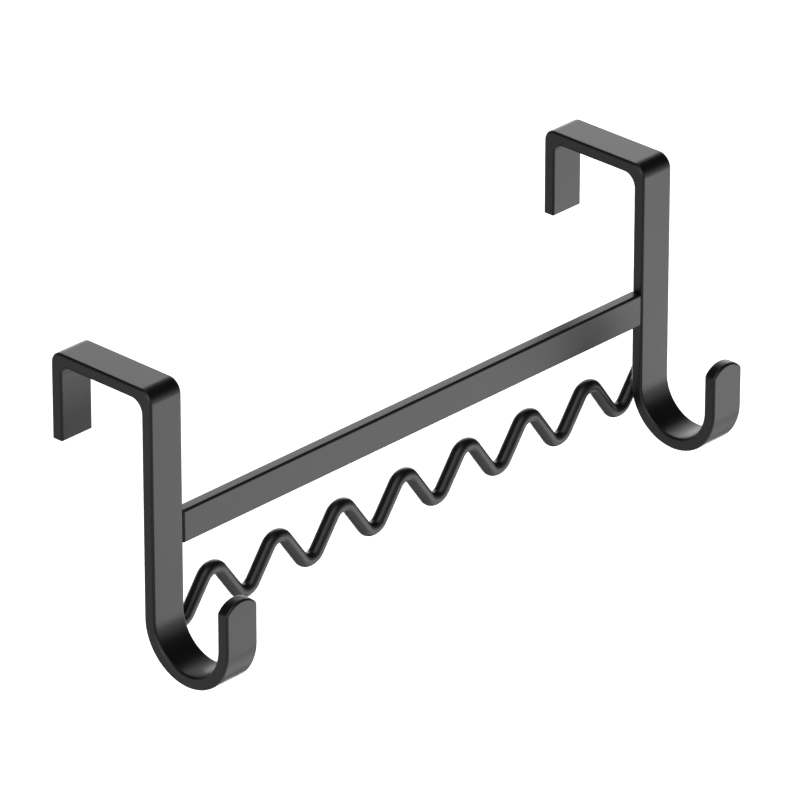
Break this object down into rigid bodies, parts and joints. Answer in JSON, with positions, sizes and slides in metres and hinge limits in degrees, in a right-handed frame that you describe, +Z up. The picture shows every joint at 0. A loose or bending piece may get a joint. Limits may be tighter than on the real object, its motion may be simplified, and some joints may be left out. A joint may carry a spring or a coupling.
{
  "type": "bunk bed hook",
  "caption": "Powder-coated steel hanging rack that saddles a bed rail, with a J hook at each end and a wavy wire that spaces clothes hangers.",
  "frame": {"origin": "where the bed rail's top bears: midway between the two brackets, in the middle of the rail gap, at the height of the tops' undersides", "axes": "+X along the bed rail, to the right as seen from the room; +Y from the room to the bed; +Z up"},
  "size_m": [0.3534, 0.1123, 0.1441],
  "materials": {
    "powder_coat": "smooth satin powder coat, black with a soft grey sheen"
  },
  "bodies": {
    "root": {"left_bracket": "powder_coat", "right_bracket": "powder_coat", "cross_bar": "powder_coat", "wave_rail": "powder_coat", "cross_bar_welds": "powder_coat", "wave_rail_welds": "powder_coat"}
  },
  "joints": []
}
